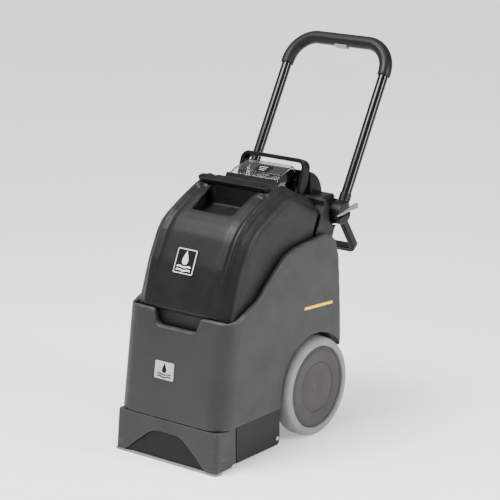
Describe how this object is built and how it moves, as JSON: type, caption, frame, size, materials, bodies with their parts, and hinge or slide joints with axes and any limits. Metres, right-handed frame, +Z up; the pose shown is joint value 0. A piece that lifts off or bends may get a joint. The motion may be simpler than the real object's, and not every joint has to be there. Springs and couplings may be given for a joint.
{
  "type": "upright carpet cleaner machine",
  "caption": "Upright carpet extractor with a vacuum shoe, brush deck, moulded solution tank, lift-out recovery tank with clear dome, rear wheels and a folding push handle.",
  "frame": {"origin": "on the floor under the middle of the machine's bounding box", "axes": "+Z up, -Y towards the vacuum shoe at the front, +Y towards the push handle, +X to the right seen from the front"},
  "size_m": [0.356, 0.75, 0.9648],
  "materials": {
    "grey_moulding": "satin moulded",
    "black_grain": "fine grain moulded",
    "black_plastic": "satin",
    "black_soft": "soft matt",
    "tube_black": "gloss",
    "clear": "clear",
    "tyre": "smooth",
    "hub_grey": "satin",
    "steel": "brushed",
    "alloy": "cast",
    "bronze": "plain",
    "bristle": "fibres",
    "grey_plastic": "satin",
    "motor": "satin",
    "hose": "smooth",
    "white_plastic": "plain",
    "orange_plastic": "plain",
    "yellow": "printed",
    "badge_silver": "satin"
  },
  "bodies": {
    "lower_machine": {"solution_tank": "grey_moulding", "fill_strainer": "white_plastic", "vacuum_shoe": "grey_moulding", "shoe_duct": "black_plastic", "shoe_lip": "alloy", "brush_deck": "black_plastic", "deck_side_left": "black_plastic", "deck_side_right": "black_plastic", "deck_screws": "steel", "brush_bushes": "bronze", "drive_belt": "black_soft", "brush_motor": "motor", "spray_manifold": "black_plastic", "spray_nozzles": "bronze", "pump": "motor", "solution_hose": "hose", "vacuum_motor": "motor", "suction_duct": "black_plastic", "chassis_tray": "black_plastic", "axle": "steel", "axle_clips": "steel", "rear_housing": "black_plastic", "console": "black_plastic", "cord_gland": "black_soft", "hinge_bosses": "black_plastic", "hinge_pins": "steel", "body_badge": "badge_silver", "side_stripes": "yellow"},
    "brush": {"brush_shaft": "steel", "brush_bristles": "bristle", "brush_pulley": "grey_plastic"},
    "motor_shaft": {"motor_pulley": "steel"},
    "wheel_left": {"tyre_left": "tyre", "hub_left": "hub_grey", "hub_cap_left": "hub_grey"},
    "wheel_right": {"tyre_right": "tyre", "hub_right": "hub_grey", "hub_cap_right": "hub_grey"},
    "upper_tank": {"recovery_tank": "black_grain", "tank_riser": "black_plastic", "float_cage": "white_plastic", "dome_frame": "black_plastic", "grab_bar": "black_plastic", "grab_bar_screws": "steel", "tank_badge": "black_plastic"},
    "float": {"float_ball": "orange_plastic"},
    "clear_dome": {"dome": "clear"},
    "bail": {"tank_bail": "black_plastic"},
    "handle": {"knuckle_left": "black_plastic", "knuckle_right": "black_plastic", "tube_left": "tube_black", "tube_right": "tube_black", "handle_grip": "black_soft", "lower_bail": "black_plastic"},
    "trigger": {"spray_trigger": "grey_plastic"},
    "lever_left": {"release_lever_left": "grey_plastic"},
    "lever_right": {"release_lever_right": "grey_plastic"},
    "switch_vacuum": {"vacuum_switch": "black_plastic"},
    "switch_brush": {"brush_switch": "black_plastic"}
  },
  "joints": [
    {"name": "wheel_left_spin", "type": "hinge", "parent": "lower_machine", "child": "wheel_left", "pos_m": [-0.15, 0.018, 0.127], "axis": [1, 0, 0], "continuous": true},
    {"name": "wheel_right_spin", "type": "hinge", "parent": "lower_machine", "child": "wheel_right", "pos_m": [0.15, 0.018, 0.127], "axis": [1, 0, 0], "continuous": true},
    {"name": "brush_spin", "type": "hinge", "parent": "lower_machine", "child": "brush", "pos_m": [0, -0.239, 0.041], "axis": [1, 0, 0], "continuous": true},
    {"name": "motor_spin", "type": "hinge", "parent": "lower_machine", "child": "motor_shaft", "pos_m": [0, -0.159, 0.06], "axis": [1, 0, 0], "continuous": true},
    {"name": "tank_lift", "type": "slide", "parent": "lower_machine", "child": "upper_tank", "axis": [0, 0, 1], "range_m": [0, 0.24]},
    {"name": "float_rise", "type": "slide", "parent": "upper_tank", "child": "float", "axis": [0, 0, 1], "range_m": [0, 0.06]},
    {"name": "dome_lift", "type": "slide", "parent": "upper_tank", "child": "clear_dome", "axis": [0, 0, 1], "range_m": [0, 0.03]},
    {"name": "bail_swing", "type": "hinge", "parent": "upper_tank", "child": "bail", "pos_m": [0, 0.045, 0.614], "axis": [-1, 0, 0], "range_deg": [-42, 0]},
    {"name": "handle_fold", "type": "hinge", "parent": "lower_machine", "child": "handle", "pos_m": [0, 0.13058, 0.556], "axis": [-1, 0, 0], "range_deg": [-70, 17]},
    {"name": "trigger_squeeze", "type": "slide", "parent": "handle", "child": "trigger", "axis": [0, 0.4924, 0.8704], "range_m": [0, 0.004], "stiffness_N_per_m": 400, "springref_m": -0.002},
    {"name": "lever_left_lift", "type": "hinge", "parent": "handle", "child": "lever_left", "pos_m": [0, 0.13058, 0.556], "axis": [1, 0, 0], "range_deg": [0, 8], "stiffness_Nm_per_rad": 0.5, "springref_deg": -5.73},
    {"name": "lever_right_lift", "type": "hinge", "parent": "handle", "child": "lever_right", "pos_m": [0, 0.13058, 0.556], "axis": [1, 0, 0], "range_deg": [0, 8], "stiffness_Nm_per_rad": 0.5, "springref_deg": -5.73},
    {"name": "vacuum_switch_rock", "type": "hinge", "parent": "lower_machine", "child": "switch_vacuum", "pos_m": [-0.032, 0.11356, 0.63842], "axis": [1, 0, 0], "range_deg": [-7, 7]},
    {"name": "brush_switch_rock", "type": "hinge", "parent": "lower_machine", "child": "switch_brush", "pos_m": [0.032, 0.11356, 0.63842], "axis": [1, 0, 0], "range_deg": [-7, 7]}
  ],
  "couplings": [
    {"joint": "motor_spin", "follows": "brush_spin", "ratio": 2}
  ]
}
